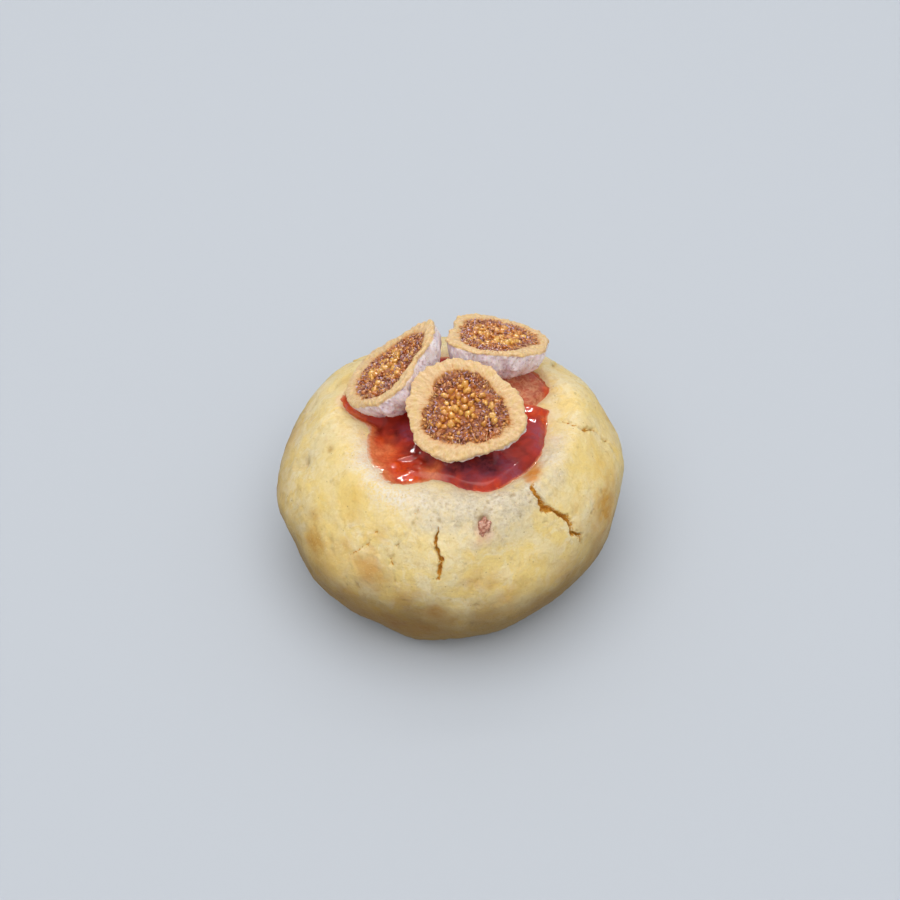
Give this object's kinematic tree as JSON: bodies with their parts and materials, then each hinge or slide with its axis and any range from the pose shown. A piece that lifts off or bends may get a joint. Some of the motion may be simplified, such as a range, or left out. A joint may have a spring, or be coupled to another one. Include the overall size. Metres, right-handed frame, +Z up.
{
  "type": "fig cookie",
  "caption": "Thick round cookie of cracked pale dough with a jam-filled thumbprint, topped with halves of dried fig that lean outwards.",
  "frame": {"origin": "middle of the flat base that the cookie rests on", "axes": "+Z up through the jam; -Y towards the front fig, +X to the right of it"},
  "size_m": [0.0705, 0.0696, 0.0511],
  "materials": {
    "baked_dough": "matte, finely pitted crumb, browned in patches",
    "red_jam": "glossy and translucent",
    "dried_fig": "sticky seeded pulp, pale rim, dusty skin"
  },
  "bodies": {
    "root": {"dough": "baked_dough", "jam": "red_jam", "fig_front": "dried_fig", "fig_left": "dried_fig", "fig_back": "dried_fig"}
  },
  "joints": []
}
